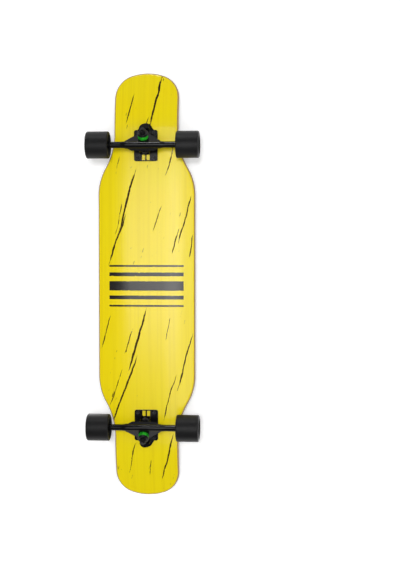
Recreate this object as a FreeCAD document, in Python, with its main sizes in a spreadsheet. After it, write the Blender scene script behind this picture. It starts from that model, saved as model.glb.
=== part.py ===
import FreeCAD, Part
import math
import os
import Sketcher

doc = FreeCAD.newDocument("longboard")
sheet = doc.addObject("Spreadsheet::Sheet", "sizes")
sheet_rows = []
nodes = []


# A size carries its number and the sheet expression that gives the same number
class Size:
    def __init__(self, value, text):
        self.value = value
        self.text = text

    def joined(self, sign, other, value):
        return Size(value, "(" + self.text + " " + sign + " " + other.text + ")")

    def __add__(self, other):
        other = as_size(other)
        return self.joined("+", other, self.value + other.value)

    def __sub__(self, other):
        other = as_size(other)
        return self.joined("-", other, self.value - other.value)

    def __mul__(self, other):
        other = as_size(other)
        return self.joined("*", other, self.value * other.value)

    def __truediv__(self, other):
        other = as_size(other)
        return self.joined("/", other, self.value / other.value)

    def __radd__(self, other):
        return as_size(other) + self

    def __rsub__(self, other):
        return as_size(other) - self

    def __rmul__(self, other):
        return as_size(other) * self

    def __neg__(self):
        return as_size(-1) * self


def as_size(number):
    if isinstance(number, Size):
        return number
    return Size(float(number), repr(float(number)))


def root(number):
    return Size(math.sqrt(number.value), "sqrt(" + number.text + ")")


def sine(degrees):
    degrees = as_size(degrees)
    return Size(math.sin(math.radians(degrees.value)), "sin(" + degrees.text + ")")


def cosine(degrees):
    degrees = as_size(degrees)
    return Size(math.cos(math.radians(degrees.value)), "cos(" + degrees.text + ")")


def size(name, value):
    sheet_rows.append(name)
    row = str(len(sheet_rows))
    sheet.set("A" + row, name)
    sheet.set("B" + row, str(value))
    sheet.setAlias("B" + row, name)
    return Size(float(value), "sizes." + name)


# Deck and grip tape
deck_length = size("deck_length", 1066.8)
deck_width = size("deck_width", 244)
deck_thickness = size("deck_thickness", 11)
neck_width = size("neck_width", 161)
flare_setback = size("flare_setback", 305.4)
flare_length = size("flare_length", 153.6)
flare_convex_share = size("flare_convex_share", 0.4345)
nose_corner_radius = size("nose_corner_radius", 59)
nose_tip_radius = size("nose_tip_radius", 125)
flat_width = size("flat_width", 90)
concave_radius = size("concave_radius", 400)
kick_length = size("kick_length", 137.4)
kick_bend_radius = size("kick_bend_radius", 200)
kick_angle = size("kick_angle", 16)
deck_bottom_round = size("deck_bottom_round", 6)
deck_top_round = size("deck_top_round", 1.2)
tape_thickness = size("tape_thickness", 1)
tape_inset = size("tape_inset", 1.6)
bond_gap = size("bond_gap", 0.03)

# Mounting bolts and nuts
bolt_spacing_long = size("bolt_spacing_long", 63.5)
bolt_spacing_wide = size("bolt_spacing_wide", 41.275)
bolt_diameter = size("bolt_diameter", 5)
bolt_head_diameter = size("bolt_head_diameter", 9)
bolt_head_height = size("bolt_head_height", 2.6)
bolt_head_rise = size("bolt_head_rise", 0.5)
bolt_tail = size("bolt_tail", 2)
bolt_socket_corners = size("bolt_socket_corners", 3.4)
bolt_socket_depth = size("bolt_socket_depth", 1.8)
bolt_clearance = size("bolt_clearance", 0.1)
nut_corners = size("nut_corners", 9.2)
nut_height = size("nut_height", 5)

# Truck layout
nose_overhang = size("nose_overhang", 183.8)
axle_setback = size("axle_setback", 2.8)
truck_height = size("truck_height", 62)
steer_angle = size("steer_angle", 45)
kingpin_offset = size("kingpin_offset", 20.5)
pivot_offset = size("pivot_offset", 53)

# Baseplate
plate_length = size("plate_length", 77)
plate_width = size("plate_width", 59)
plate_thickness = size("plate_thickness", 6)
plate_corner_radius = size("plate_corner_radius", 5)
plate_edge_round = size("plate_edge_round", 1.2)
tongue_root_width = size("tongue_root_width", 40)
tongue_tip_width = size("tongue_tip_width", 31)
tongue_side = size("tongue_side", 6)
window_length = size("window_length", 14)
window_width = size("window_width", 20)
window_post = size("window_post", 3)
window_rim = size("window_rim", 2)
block_width = size("block_width", 26)
channel_width = size("channel_width", 19)
channel_depth = size("channel_depth", 4)
boss_radius = size("boss_radius", 15)
seat_height = size("seat_height", 22)
seat_wall = size("seat_wall", 12)
housing_radius = size("housing_radius", 12.5)
housing_reach = size("housing_reach", 41)
housing_face = size("housing_face", 48)
housing_bottom = size("housing_bottom", 25)
spine_width = size("spine_width", 10)
spine_depth = size("spine_depth", 8)

# Kingpin, washers and bushings
kingpin_diameter = size("kingpin_diameter", 9.5)
kingpin_head_corners = size("kingpin_head_corners", 16)
kingpin_head_height = size("kingpin_head_height", 7)
kingpin_head_room = size("kingpin_head_room", 0.4)
kingpin_tail = size("kingpin_tail", 4)
kingpin_clearance = size("kingpin_clearance", 0.1)
kingpin_nut_corners = size("kingpin_nut_corners", 16.5)
kingpin_nut_height = size("kingpin_nut_height", 9)
bushing_washer = size("bushing_washer", 2)
boardside_radius = size("boardside_radius", 13)
boardside_length = size("boardside_length", 16)
roadside_radius = size("roadside_radius", 13)
roadside_length = size("roadside_length", 15)
cup_washer_radius = size("cup_washer_radius", 13.2)
cup_washer_depth = size("cup_washer_depth", 3)
cup_washer_wall = size("cup_washer_wall", 1.2)
cup_washer_round = size("cup_washer_round", 1.5)
cup_washer_gap = size("cup_washer_gap", 0.15)
bushing_round = size("bushing_round", 1.5)
bushing_bore_gap = size("bushing_bore_gap", 0.15)

# Hanger and axle
hanger_width = size("hanger_width", 195)
hanger_radius = size("hanger_radius", 8.6)
hanger_end_radius = size("hanger_end_radius", 7.75)
hanger_step = size("hanger_step", 42)
hanger_taper = size("hanger_taper", 13)
yoke_thickness = size("yoke_thickness", 14)
yoke_spread = size("yoke_spread", 44)
ring_radius = size("ring_radius", 19)
ring_hole_radius = size("ring_hole_radius", 8.5)
ring_web = size("ring_web", 8)
seat_gap = size("seat_gap", 0.1)
nose_root_radius = size("nose_root_radius", 10)
nose_neck_radius = size("nose_neck_radius", 6.6)
nose_ball_radius = size("nose_ball_radius", 7)
arch_spread = size("arch_spread", 50)
arch_top_spread = size("arch_top_spread", 28)
arch_height = size("arch_height", 15)
arch_thickness = size("arch_thickness", 10)
pivot_clearance = size("pivot_clearance", 0.2)
cup_wall = size("cup_wall", 1.3)
cup_fit = size("cup_fit", 0.05)
axle_diameter = size("axle_diameter", 8)
axle_fit = size("axle_fit", 0.05)
axle_tail = size("axle_tail", 1.5)
axle_nut_corners = size("axle_nut_corners", 15)
axle_nut_height = size("axle_nut_height", 7.5)
speed_washer_thickness = size("speed_washer_thickness", 1)
speed_washer_radius = size("speed_washer_radius", 5.9)

# Bearings
bearing_width = size("bearing_width", 7)
bearing_outer_diameter = size("bearing_outer_diameter", 22)
inner_ring_radius = size("inner_ring_radius", 6)
outer_ring_inside = size("outer_ring_inside", 9.6)
ball_pitch_radius = size("ball_pitch_radius", 7.8)
ball_radius = size("ball_radius", 1.98)
groove_gap = size("groove_gap", 0.06)
shield_thickness = size("shield_thickness", 0.35)
shield_gap = size("shield_gap", 0.25)
shield_fit = size("shield_fit", 0.03)
cage_thickness = size("cage_thickness", 1.4)
cage_width = size("cage_width", 5.2)
cage_gap = size("cage_gap", 0.1)
ball_count = 7
spacer_length = size("spacer_length", 10)
spacer_radius = size("spacer_radius", 5.6)

# Wheels
wheel_diameter = size("wheel_diameter", 66)
wheel_width = size("wheel_width", 56)
wheel_lip_round = size("wheel_lip_round", 3.5)
wheel_lip_flat = size("wheel_lip_flat", 2.5)
wheel_recess_slope = size("wheel_recess_slope", 4.5)
core_radius = size("core_radius", 19.5)
core_width = size("core_width", 28)
core_rib_radius = size("core_rib_radius", 9)
bearing_seat_gap = size("bearing_seat_gap", 0.04)

# Sizes that follow from the ones above
wheel_radius = wheel_diameter / 2
flare_start = deck_length / 2 - flare_setback
kick_start = deck_length / 2 - kick_length
truck_station = deck_length / 2 - nose_overhang
axle_radius = axle_diameter / 2
kingpin_radius = kingpin_diameter / 2
bolt_radius = bolt_diameter / 2
bolt_hole_radius = bolt_radius + bolt_clearance
deck_bottom = wheel_radius + truck_height
deck_top = deck_bottom + deck_thickness
axle_station = truck_station - axle_setback
bolt_head_top = deck_top + bolt_head_rise
plate_bottom = truck_height - plate_thickness
hanger_face = hanger_width / 2
bearing_offset = (spacer_length + bearing_width) / 2
wheel_station = hanger_face + speed_washer_thickness + bearing_width + spacer_length / 2
washer_station = bearing_offset + (bearing_width + speed_washer_thickness) / 2
axle_end = wheel_station + bearing_offset + bearing_width / 2 + speed_washer_thickness
axle_end = axle_end + axle_nut_height + axle_tail
groove_radius = ball_radius + groove_gap
inner_bore = axle_radius + axle_fit
cup_bore = nose_ball_radius + pivot_clearance
cup_radius = cup_bore + cup_wall
boardside_seat = ring_web / 2
boardside_top = boardside_seat + boardside_length
roadside_bottom = boardside_seat + roadside_length
roadside_end_radius = cup_washer_radius - cup_washer_wall - cup_washer_gap
kingpin_seat = seat_height + seat_wall
bushing_bore = kingpin_radius + bushing_bore_gap

no_turn = FreeCAD.Rotation()
turn_to_y = FreeCAD.Rotation(FreeCAD.Vector(1, 0, 0), -90)
turn_to_x = FreeCAD.Rotation(FreeCAD.Vector(0, 1, 0), 90)
half_turn = FreeCAD.Rotation(FreeCAD.Vector(0, 0, 1), 180)
steer_turn = FreeCAD.Rotation(FreeCAD.Vector(0, 1, 0), -steer_angle.value)


# Helpers for sketches, bodies and primitives
def bind(item, path, number):
    item.setExpression(path, as_size(number).text)


def place(item, spot, turn=no_turn):
    item.Placement = FreeCAD.Placement(FreeCAD.Vector(0, 0, 0), turn)
    for axis, distance in zip("xyz", spot):
        bind(item, "Placement.Base." + axis, distance)
    return item


def flat_point(corner):
    return FreeCAD.Vector(as_size(corner[0]).value, as_size(corner[1]).value, 0)


def arc_between(start, end, radius):
    chord = end - start
    sideways = FreeCAD.Vector(-chord.y, chord.x, 0).normalize()
    rise = math.sqrt(radius * radius - chord.Length * chord.Length / 4)
    centre = (start + end) * 0.5 + sideways * rise
    first = math.atan2(start.y - centre.y, start.x - centre.x)
    last = math.atan2(end.y - centre.y, end.x - centre.x)
    if last < first:
        last = last + 2 * math.pi
    circle = Part.Circle(centre, FreeCAD.Vector(0, 0, 1), radius)
    return Part.ArcOfCircle(circle, first, last)


# A corner is (across, up) or (across, up, radius), and a radius bends the line to the next corner:
# positive turns left and negative turns right
def draw(sketch, corners, closed=True):
    count = len(corners)
    lines = count if closed else count - 1
    first = sketch.GeometryCount
    ends = []
    for index in range(lines):
        start = flat_point(corners[index])
        end = flat_point(corners[(index + 1) % count])
        bend = as_size(corners[index][2]) if len(corners[index]) == 3 else None
        if bend is None:
            sketch.addGeometry(Part.LineSegment(start, end))
            ends.append((1, 2))
        elif bend.value > 0:
            sketch.addGeometry(arc_between(start, end, bend.value))
            ends.append((1, 2))
        else:
            sketch.addGeometry(arc_between(end, start, -bend.value))
            ends.append((2, 1))
    for index in range(lines if closed else lines - 1):
        following = (index + 1) % lines
        tie = ("Coincident", first + index, ends[index][1], first + following, ends[following][0])
        sketch.addConstraint(Sketcher.Constraint(*tie))
    for index in range(count):
        line = min(index, lines - 1)
        point = (first + line, ends[line][0] if index < lines else ends[line][1])
        pin(sketch, point, "DistanceX", -2, corners[index][0])
        pin(sketch, point, "DistanceY", -1, corners[index][1])
        if len(corners[index]) == 3:
            bend = as_size(corners[index][2])
            size_of_bend = bend if bend.value > 0 else -bend
            row = sketch.addConstraint(Sketcher.Constraint("Radius", first + index, size_of_bend.value))
            bind(sketch, "Constraints[%d]" % row, size_of_bend)


def pin(sketch, point, kind, axis, distance):
    distance = as_size(distance)
    if distance.value == 0:
        sketch.addConstraint(Sketcher.Constraint("PointOnObject", point[0], point[1], axis))
    else:
        tie = Sketcher.Constraint(kind, -1, 1, point[0], point[1], distance.value)
        bind(sketch, "Constraints[%d]" % sketch.addConstraint(tie), distance)


def new_body(name):
    body = doc.addObject("PartDesign::Body", name)
    body.Label = name
    body.AllowCompound = True
    return body


def origin_plane(body, plane):
    return [item for item in body.Origin.OriginFeatures if item.Role == plane][0]


def new_sketch(body, name, plane, outlines, closed=True):
    sketch = body.newObject("Sketcher::SketchObject", name)
    sketch.AttachmentSupport = (origin_plane(body, plane), [""])
    sketch.MapMode = "FlatFace"
    for corners in outlines:
        draw(sketch, corners, closed)
    return sketch


def revolved(name, plane, outlines):
    body = new_body(name)
    sketch = new_sketch(body, name + "_outline", plane, outlines)
    turned = body.newObject("PartDesign::Revolution", name + "_revolution")
    turned.Profile = sketch
    turned.ReferenceAxis = (sketch, ["V_Axis"])
    turned.Angle = 360
    return body


def padded(name, plane, outlines, length, symmetric=True):
    body = new_body(name)
    sketch = new_sketch(body, name + "_outline", plane, outlines)
    pad = body.newObject("PartDesign::Pad", name + "_pad")
    pad.Profile = sketch
    pad.SideType = "Symmetric" if symmetric else "One side"
    bind(pad, "Length", length)
    return body


def cylinder(name, radius, height, spot, turn=no_turn):
    item = doc.addObject("Part::Cylinder", name)
    bind(item, "Radius", radius)
    bind(item, "Height", height)
    return place(item, spot, turn)


def cone(name, bottom_radius, top_radius, height, spot, turn=no_turn):
    item = doc.addObject("Part::Cone", name)
    bind(item, "Radius1", bottom_radius)
    bind(item, "Radius2", top_radius)
    bind(item, "Height", height)
    return place(item, spot, turn)


def hexagon(name, corners, height, spot, turn=no_turn):
    item = doc.addObject("Part::Prism", name)
    item.Polygon = 6
    bind(item, "Circumradius", corners / 2)
    bind(item, "Height", height)
    return place(item, spot, turn)


def sphere(name, radius, spot):
    item = doc.addObject("Part::Sphere", name)
    bind(item, "Radius", radius)
    return place(item, spot)


def fused(name, items):
    item = doc.addObject("Part::MultiFuse", name)
    item.Shapes = items
    item.Refine = True
    return item


def grouped(name, items):
    item = doc.addObject("Part::Compound", name)
    item.Links = items
    return item


def cut(name, base, tool):
    item = doc.addObject("Part::Cut", name)
    item.Base = base
    item.Tool = tool
    item.Refine = True
    return item


def shared(name, items):
    item = doc.addObject("Part::MultiCommon", name)
    item.Shapes = items
    item.Refine = True
    return item


def facing(face):
    span = face.ParameterRange
    tilt = face.normalAt((span[0] + span[1]) / 2, (span[2] + span[3]) / 2).z
    if abs(tilt) < 0.01:
        return "side"
    return "up" if tilt > 0 else "down"


# Rounds the edges where an upright side meets the faces turned the given way
def rim_rounded(name, base, way, radius):
    doc.recompute()
    chosen = []
    for number, edge in enumerate(base.Shape.Edges, 1):
        ways = sorted(facing(face) for face in base.Shape.ancestorsOfType(edge, Part.Face))
        if ways == sorted(["side", way]):
            chosen.append((number, radius.value, radius.value))
    item = doc.addObject("Part::Fillet", name)
    item.Base = base
    item.Edges = chosen
    return item


def node(item, name):
    item.Label = name
    nodes.append(item)
    return item


# Outline of the deck seen from above, drawn in by an inset
def deck_outline(inset):
    half = deck_width / 2
    neck = neck_width / 2
    drop = half - neck
    radius_sum = (drop * drop + flare_length * flare_length) / (2 * drop)
    convex = flare_convex_share * radius_sum
    concave = radius_sum - convex
    shrink = (convex - inset) / convex
    join_x = flare_start + shrink * flare_convex_share * flare_length
    join_y = half - convex + shrink * (convex - flare_convex_share * drop)
    neck_start = flare_start + flare_length
    corner_y = neck - nose_corner_radius
    centre_gap = nose_tip_radius - nose_corner_radius
    corner_dx = root(centre_gap * centre_gap - corner_y * corner_y)
    tip_centre = deck_length / 2 - nose_tip_radius
    corner_x = tip_centre + corner_dx
    tip_arc = nose_tip_radius - inset
    tip_x = tip_centre + tip_arc * corner_dx / centre_gap
    tip_y = tip_arc * corner_y / centre_gap
    wide = half - inset
    narrow = neck - inset
    corner_arc = nose_corner_radius - inset
    return [
        (tip_x, -tip_y, tip_arc),
        (tip_x, tip_y, corner_arc),
        (corner_x, narrow),
        (neck_start, narrow, -(concave + inset)),
        (join_x, join_y, convex - inset),
        (flare_start, wide),
        (-flare_start, wide, convex - inset),
        (-join_x, join_y, -(concave + inset)),
        (-neck_start, narrow),
        (-corner_x, narrow, corner_arc),
        (-tip_x, tip_y, tip_arc),
        (-tip_x, -tip_y, corner_arc),
        (-corner_x, -narrow),
        (-neck_start, -narrow, -(concave + inset)),
        (-join_x, -join_y, convex - inset),
        (-flare_start, -wide),
        (flare_start, -wide, convex - inset),
        (join_x, -join_y, -(concave + inset)),
        (neck_start, -narrow),
        (corner_x, -narrow, corner_arc),
    ]


# Layer of the bent board between two heights over the deck's flat underside
def bent_layer(name, low, high):
    flat = flat_width / 2
    edge = deck_width / 2 + 6
    reach = edge - flat
    low_arc = concave_radius - low
    high_arc = concave_radius - high
    low_edge = deck_bottom + concave_radius - root(low_arc * low_arc - reach * reach)
    high_edge = deck_bottom + concave_radius - root(high_arc * high_arc - reach * reach)
    section = [
        (-edge, low_edge, low_arc),
        (-flat, deck_bottom + low),
        (flat, deck_bottom + low, low_arc),
        (edge, low_edge),
        (edge, high_edge, -high_arc),
        (flat, deck_bottom + high),
        (-flat, deck_bottom + high, -high_arc),
        (-edge, high_edge),
    ]
    bend_x = kick_start + kick_bend_radius * sine(kick_angle)
    bend_z = deck_bottom + kick_bend_radius * (1 - cosine(kick_angle))
    kick_run = deck_length / 2 + 20 - bend_x
    path = [
        (0, deck_bottom),
        (kick_start, deck_bottom, kick_bend_radius),
        (bend_x, bend_z),
        (bend_x + kick_run, bend_z + kick_run * sine(kick_angle) / cosine(kick_angle)),
    ]
    body = new_body(name)
    section_sketch = new_sketch(body, name + "_section", "YZ_Plane", [section])
    path_sketch = new_sketch(body, name + "_path", "XZ_Plane", [path], False)
    sweep = body.newObject("PartDesign::AdditivePipe", name + "_sweep")
    sweep.Profile = section_sketch
    sweep.Spine = path_sketch
    mirrored = body.newObject("PartDesign::Mirrored", name + "_mirrored")
    mirrored.Originals = [sweep]
    mirrored.MirrorPlane = (origin_plane(body, "YZ_Plane"), [""])
    body.Tip = mirrored
    return body


def bolt_spots():
    spots = []
    for end in (1, -1):
        for along in (1, -1):
            for side in (1, -1):
                x = end * truck_station + along * bolt_spacing_long / 2
                spots.append((x, side * bolt_spacing_wide / 2))
    return spots


deck_layer = bent_layer("deck_layer", as_size(0), deck_thickness)
deck_cutter = padded("deck_cutter", "XY_Plane", [deck_outline(as_size(0))], 2 * deck_top + 200)
deck_blank = shared("deck_blank", [deck_layer, deck_cutter])
deck_under = rim_rounded("deck_under", deck_blank, "down", deck_bottom_round)
deck_rim = rim_rounded("deck_rim", deck_under, "up", deck_top_round)
tape_layer = bent_layer("tape_layer", deck_thickness + bond_gap, deck_thickness + tape_thickness)
tape_cutter = padded("tape_cutter", "XY_Plane", [deck_outline(tape_inset)], 2 * deck_top + 200)
tape_blank = shared("tape_blank", [tape_layer, tape_cutter])

# Holes, bolts and nuts share the same spots
deck_holes = []
tape_holes = []
bolts = []
nuts = []
head_radius = bolt_head_diameter / 2
nut_top = deck_bottom - plate_thickness
bolt_bottom = nut_top - nut_height - bolt_tail
head_low = bolt_head_top - bolt_head_height
for number, (x, y) in enumerate(bolt_spots(), 1):
    mark = str(number)
    below_deck = (x, y, deck_bottom - deck_thickness)
    hole = cylinder("deck_hole_" + mark, bolt_hole_radius, 3 * deck_thickness, below_deck)
    sink = cone(
        "deck_sink_" + mark,
        bolt_hole_radius,
        head_radius + bolt_clearance,
        bolt_head_height,
        (x, y, head_low),
    )
    deck_holes = deck_holes + [hole, sink]
    tape_hole_radius = head_radius + 3 * bolt_clearance
    tape_hole = cylinder("tape_hole_" + mark, tape_hole_radius, 2 * deck_thickness, (x, y, deck_bottom))
    tape_holes.append(tape_hole)
    shank = cylinder("bolt_shank_" + mark, bolt_radius, bolt_head_top - bolt_bottom, (x, y, bolt_bottom))
    head = cone("bolt_head_" + mark, bolt_radius, head_radius, bolt_head_height, (x, y, head_low))
    socket = hexagon(
        "bolt_socket_" + mark,
        bolt_socket_corners,
        2 * bolt_socket_depth,
        (x, y, bolt_head_top - bolt_socket_depth),
    )
    bolt_solid = fused("bolt_solid_" + mark, [shank, head])
    bolts.append(cut("bolt_" + mark, bolt_solid, socket))
    nut_blank = hexagon("nut_blank_" + mark, nut_corners, nut_height, (x, y, nut_top - nut_height))
    below_nut = (x, y, nut_top - 2 * nut_height)
    nut_bore = cylinder("nut_bore_" + mark, bolt_hole_radius, 3 * nut_height, below_nut)
    nuts.append(cut("nut_" + mark, nut_blank, nut_bore))

node(cut("deck_drilled", deck_rim, grouped("deck_hole_set", deck_holes)), "deck")
node(cut("tape_drilled", tape_blank, grouped("tape_hole_set", tape_holes)), "grip_tape")
node(grouped("bolt_set", bolts), "mounting_bolts")
node(grouped("nut_set", nuts), "mounting_nuts")


# A ring is a rectangle of (radius, along) corners
def ring_outline(inner, outer, low, high):
    return [(inner, low), (outer, low), (outer, high), (inner, high)]


# Puts a truck piece at one end: along runs outward and up is over the axle, before the end turn
def on_truck(item, end, turn=no_turn, along=as_size(0), up=as_size(0)):
    end_turn = no_turn if end > 0 else half_turn
    spot = (end * (axle_station + along), 0, wheel_radius + up)
    return place(item, spot, end_turn.multiply(turn))


# Puts a piece made round the upright axis onto the kingpin's line
def on_kingpin(item, end):
    along = kingpin_offset * cosine(steer_angle)
    up = kingpin_offset * sine(steer_angle)
    return on_truck(item, end, steer_turn, along, up)


def baseplate(name, end):
    half_long = plate_length / 2
    half_wide = plate_width / 2
    low_x = axle_setback - half_long
    high_x = axle_setback + half_long
    bend = plate_corner_radius
    tongue_x = high_x + tongue_side
    tongue_round = tongue_tip_width * 0.53
    plate = padded(
        name + "_plate",
        "XY_Plane",
        [
            [
                (low_x + bend, -half_wide),
                (high_x - bend, -half_wide, bend),
                (high_x, bend - half_wide),
                (high_x, -tongue_root_width / 2),
                (tongue_x, -tongue_tip_width / 2, tongue_round),
                (tongue_x, tongue_tip_width / 2),
                (high_x, tongue_root_width / 2),
                (high_x, half_wide - bend, bend),
                (high_x - bend, half_wide),
                (low_x + bend, half_wide, bend),
                (low_x, half_wide - bend),
                (low_x, bend - half_wide, bend),
            ]
        ],
        plate_thickness,
        False,
    )
    place(plate, (0, 0, plate_bottom))
    plate_soft = rim_rounded(name + "_plate_soft", plate, "down", plate_edge_round)

    cos_steer = cosine(steer_angle)
    sin_steer = sine(steer_angle)
    inner_a = kingpin_offset - boss_radius
    outer_a = kingpin_offset + boss_radius
    window_start = low_x + window_rim
    window_end = window_start + window_length
    block_back = inner_a * cos_steer - seat_height * sin_steer
    block_low = inner_a * sin_steer + seat_height * cos_steer
    block_front = outer_a * cos_steer - seat_height * sin_steer
    block_rise = outer_a * sin_steer + seat_height * cos_steer
    block = padded(
        name + "_block",
        "XZ_Plane",
        [
            [
                (block_back, block_low),
                (block_front, block_rise),
                (block_front, plate_bottom + plate_thickness / 2),
                (window_end, plate_bottom + plate_thickness / 2),
                (window_end, plate_bottom),
            ]
        ],
        block_width,
    )
    axis_x = kingpin_offset * cos_steer
    axis_z = kingpin_offset * sin_steer
    boss = cylinder(
        name + "_boss",
        boss_radius,
        seat_wall,
        (axis_x - seat_height * sin_steer, 0, axis_z + seat_height * cos_steer),
        steer_turn,
    )
    housing_height = truck_height - housing_bottom - plate_thickness / 2
    housing_spot = (housing_reach, 0, housing_bottom)
    housing = cylinder(name + "_housing", housing_radius, housing_height, housing_spot)
    along_steer = steer_turn.multiply(turn_to_x)
    trimmer = cylinder(name + "_trimmer", 3 * housing_radius, housing_face, (0, 0, 0), along_steer)
    housing_cut = cut(name + "_housing_cut", housing, trimmer)
    spine = doc.addObject("Part::Box", name + "_spine")
    bind(spine, "Length", housing_reach)
    bind(spine, "Width", spine_width)
    bind(spine, "Height", spine_depth + plate_thickness / 2)
    place(spine, (0, -spine_width / 2, plate_bottom - spine_depth))
    solid = fused(name + "_solid", [plate_soft, block, boss, housing_cut, spine])

    pane_width = (window_width - window_post) / 2
    panes = []
    for side in (1, -1):
        pane = doc.addObject("Part::Box", name + ("_pane_left" if side > 0 else "_pane_right"))
        bind(pane, "Length", window_length)
        bind(pane, "Width", pane_width)
        bind(pane, "Height", 3 * plate_thickness)
        pane_low = window_post / 2 if side > 0 else -window_post / 2 - pane_width
        panes.append(place(pane, (window_start, pane_low, plate_bottom - plate_thickness)))
    channel = padded(
        name + "_channel",
        "XZ_Plane",
        [
            [
                (block_back + channel_depth, block_low - channel_depth),
                (window_end + channel_depth, plate_bottom),
                (window_end - boss_radius, plate_bottom),
                (block_back - boss_radius, block_low - channel_depth),
            ]
        ],
        channel_width,
    )
    pin_bore = cylinder(
        name + "_pin_bore",
        kingpin_radius + kingpin_clearance,
        3 * seat_wall,
        (axis_x - (seat_height - seat_wall) * sin_steer, 0, axis_z + (seat_height - seat_wall) * cos_steer),
        steer_turn,
    )
    head_pocket = cylinder(
        name + "_head_pocket",
        kingpin_head_corners / 2 + kingpin_head_room,
        3 * kingpin_head_height,
        (axis_x - kingpin_seat * sin_steer, 0, axis_z + kingpin_seat * cos_steer),
        steer_turn,
    )
    cup_length = nose_ball_radius + pivot_clearance + cup_wall
    cup_bore_start = housing_face - cup_length
    pivot_bore = cylinder(
        name + "_pivot_bore",
        cup_radius + cup_fit,
        pivot_offset + cup_length - cup_bore_start,
        (cup_bore_start * cos_steer, 0, cup_bore_start * sin_steer),
        along_steer,
    )
    holes = panes + [channel, pin_bore, head_pocket, pivot_bore]
    for along in (1, -1):
        for side in (1, -1):
            mark = ("outer" if along > 0 else "inner") + ("_left" if side > 0 else "_right")
            hole_x = axle_setback + along * bolt_spacing_long / 2
            spot = (hole_x, side * bolt_spacing_wide / 2, plate_bottom - 1)
            holes.append(cylinder(name + "_hole_" + mark, bolt_hole_radius, 2 * plate_thickness, spot))
    return on_truck(cut(name + "_drilled", solid, grouped(name + "_holes", holes)), end)


def pivot_cup(name, end):
    bottom = pivot_offset + nose_ball_radius + pivot_clearance + cup_wall - cup_fit
    length = bottom - housing_face
    blank = cylinder(name + "_blank", cup_radius, length, (housing_face, 0, 0), turn_to_x)
    ball = sphere(name + "_ball", cup_bore, (pivot_offset, 0, 0))
    throat_length = pivot_offset - housing_face + 2
    throat = cylinder(name + "_throat", cup_bore, throat_length, (housing_face - 2, 0, 0), turn_to_x)
    hollow = fused(name + "_hollow", [ball, throat])
    return on_truck(cut(name + "_cup", blank, hollow), end, steer_turn)


def kingpin(name, end):
    bottom = roadside_bottom + bushing_washer + kingpin_nut_height + kingpin_tail
    shank = cylinder(name + "_shank", kingpin_radius, bottom + kingpin_seat + 1, (0, 0, -bottom))
    head = hexagon(name + "_head", kingpin_head_corners, kingpin_head_height, (0, 0, kingpin_seat))
    return on_kingpin(fused(name + "_pin", [shank, head]), end)


def kingpin_nut(name, end):
    top = roadside_bottom + bushing_washer
    nut_low = -top - kingpin_nut_height
    blank = hexagon(name + "_blank", kingpin_nut_corners, kingpin_nut_height, (0, 0, nut_low))
    bore_radius = kingpin_radius + kingpin_clearance
    bore_low = nut_low - kingpin_nut_height
    bore = cylinder(name + "_bore", bore_radius, 3 * kingpin_nut_height, (0, 0, bore_low))
    return on_kingpin(cut(name + "_hex", blank, bore), end)


def boardside_bushing(name, end):
    outer = boardside_radius
    inner = bushing_bore
    low = boardside_seat
    high = boardside_top
    bend = bushing_round
    outline = [
        (inner, low),
        (outer - bend, low, bend),
        (outer, low + bend),
        (outer, high - bend, bend),
        (outer - bend, high),
        (inner, high),
    ]
    return on_kingpin(revolved(name + "_body", "XZ_Plane", [outline]), end)


def roadside_bushing(name, end):
    cup_rim = cup_washer_depth - roadside_bottom
    outline = [
        (bushing_bore, -roadside_bottom),
        (roadside_end_radius, -roadside_bottom),
        (roadside_end_radius, cup_rim),
        (roadside_radius, cup_rim + bushing_round),
        (roadside_radius, -boardside_seat),
        (bushing_bore, -boardside_seat),
    ]
    return on_kingpin(revolved(name + "_body", "XZ_Plane", [outline]), end)


# The roadside washer, with a rim that holds the end of the bushing
def cup_washer(name, end):
    low = -roadside_bottom - bushing_washer
    cup_rim = cup_washer_depth - roadside_bottom
    bend = cup_washer_round
    inside = cup_washer_radius - cup_washer_wall
    outline = [
        (bushing_bore, low),
        (cup_washer_radius - bend, low, bend),
        (cup_washer_radius, low + bend),
        (cup_washer_radius, cup_rim),
        (inside, cup_rim),
        (inside, -roadside_bottom),
        (bushing_bore, -roadside_bottom),
    ]
    return on_kingpin(revolved(name + "_body", "XZ_Plane", [outline]), end)


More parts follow.
